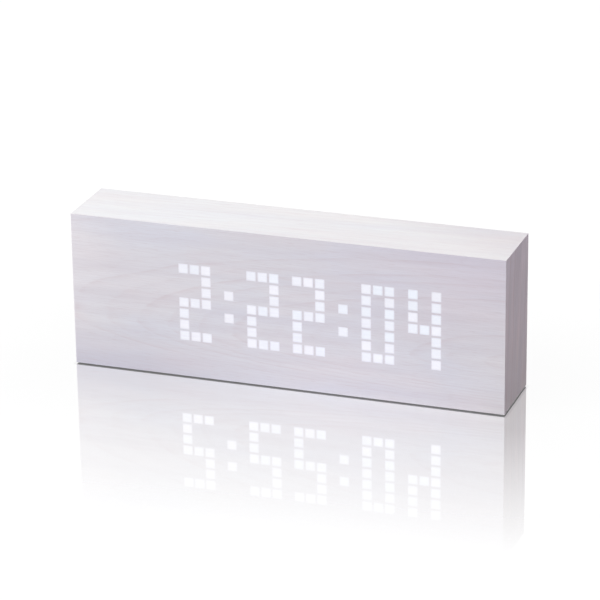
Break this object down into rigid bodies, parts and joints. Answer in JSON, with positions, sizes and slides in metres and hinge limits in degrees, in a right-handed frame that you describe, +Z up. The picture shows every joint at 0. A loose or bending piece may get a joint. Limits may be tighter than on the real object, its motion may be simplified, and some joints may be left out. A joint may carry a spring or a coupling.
{
  "type": "digital alarm clock",
  "caption": "White wood-grain block clock whose front glows with a square-dot time display; rear cover with keys, slide switch, power inlet and hinged battery door.",
  "frame": {"origin": "on the table under the middle of the case, at the bottom of the foot pads", "axes": "+X to the right seen from the front, along the case's width; +Y from the front to the back; +Z up"},
  "size_m": [0.225, 0.04, 0.0806],
  "materials": {
    "white_veneer": "satin",
    "lit_dots": "matte",
    "fibreboard": "matte",
    "glue_block": "matte",
    "screw_steel": "satin",
    "dark_screw": "satin",
    "foot_rubber": "matte",
    "diffuser": "matte",
    "baffle_plastic": "matte",
    "circuit_board": "satin",
    "led_package": "gloss",
    "chip_plastic": "matte",
    "header_plastic": "satin",
    "ribbon_grey": "satin",
    "cover_plastic": "matte",
    "battery_can": "gloss",
    "contact_steel": "polished",
    "red_lead": "satin",
    "black_lead": "satin",
    "switch_plastic": "satin",
    "switch_shell": "satin",
    "button_plastic": "matte",
    "plunger_plastic": "satin",
    "knob_plastic": "satin",
    "jack_plastic": "satin",
    "pin_metal": "polished",
    "capsule_metal": "satin",
    "coin_steel": "satin",
    "capacitor_sleeve": "gloss"
  },
  "bodies": {
    "case": {"front_veneer": "white_veneer", "wrap_veneer": "white_veneer", "back_veneer": "white_veneer", "front_board": "fibreboard", "top_board": "fibreboard", "bottom_board": "fibreboard", "left_board": "fibreboard", "right_board": "fibreboard", "back_board": "fibreboard", "hour_digits": "lit_dots", "minute_digits": "lit_dots", "second_digits": "lit_dots", "colon_dots": "lit_dots", "corner_blocks": "glue_block", "back_screws": "screw_steel", "foot_pads": "foot_rubber", "diffuser_sheet": "diffuser", "light_baffle": "baffle_plastic", "led_board": "circuit_board", "leds": "led_package", "led_drivers": "chip_plastic", "display_screws": "screw_steel", "ribbon_headers": "header_plastic", "ribbon_cable": "ribbon_grey", "rear_cover": "cover_plastic", "cover_screws": "dark_screw", "battery_box": "cover_plastic", "battery_cells": "battery_can", "battery_springs": "contact_steel", "battery_contacts": "contact_steel", "positive_lead": "red_lead", "negative_lead": "black_lead", "control_board": "circuit_board", "board_screws": "screw_steel", "tact_switches": "switch_plastic", "slide_switch": "switch_shell", "power_jack": "jack_plastic", "jack_pin": "pin_metal", "microphone": "capsule_metal", "mic_boot": "foot_rubber", "buzzer": "switch_plastic", "controller_chip": "chip_plastic", "clock_chip": "chip_plastic", "crystal": "capsule_metal", "backup_holder": "switch_plastic", "backup_cell": "coin_steel", "capacitors": "capacitor_sleeve"},
    "set_key": {"set_button": "button_plastic", "set_plunger": "plunger_plastic"},
    "up_key": {"up_button": "button_plastic", "up_plunger": "plunger_plastic"},
    "down_key": {"down_button": "button_plastic", "down_plunger": "plunger_plastic"},
    "alarm_key": {"alarm_button": "button_plastic", "alarm_plunger": "plunger_plastic"},
    "slide": {"slide_knob": "knob_plastic"},
    "door": {"battery_door": "cover_plastic"}
  },
  "joints": [
    {"name": "set_press", "type": "slide", "parent": "case", "child": "set_key", "axis": [0, -1, 0], "range_m": [0, 0.0005], "stiffness_N_per_m": 1000, "springref_m": -0.0008},
    {"name": "up_press", "type": "slide", "parent": "case", "child": "up_key", "axis": [0, -1, 0], "range_m": [0, 0.0005], "stiffness_N_per_m": 1000, "springref_m": -0.0008},
    {"name": "down_press", "type": "slide", "parent": "case", "child": "down_key", "axis": [0, -1, 0], "range_m": [0, 0.0005], "stiffness_N_per_m": 1000, "springref_m": -0.0008},
    {"name": "alarm_press", "type": "slide", "parent": "case", "child": "alarm_key", "axis": [0, -1, 0], "range_m": [0, 0.0005], "stiffness_N_per_m": 1000, "springref_m": -0.0008},
    {"name": "slide_switch_move", "type": "slide", "parent": "case", "child": "slide", "axis": [1, 0, 0], "range_m": [0, 0.002]},
    {"name": "door_hinge", "type": "hinge", "parent": "case", "child": "door", "pos_m": [-0.0439, 0.0172, 0.06355], "axis": [1, 0, 0], "range_deg": [0, 95]}
  ]
}
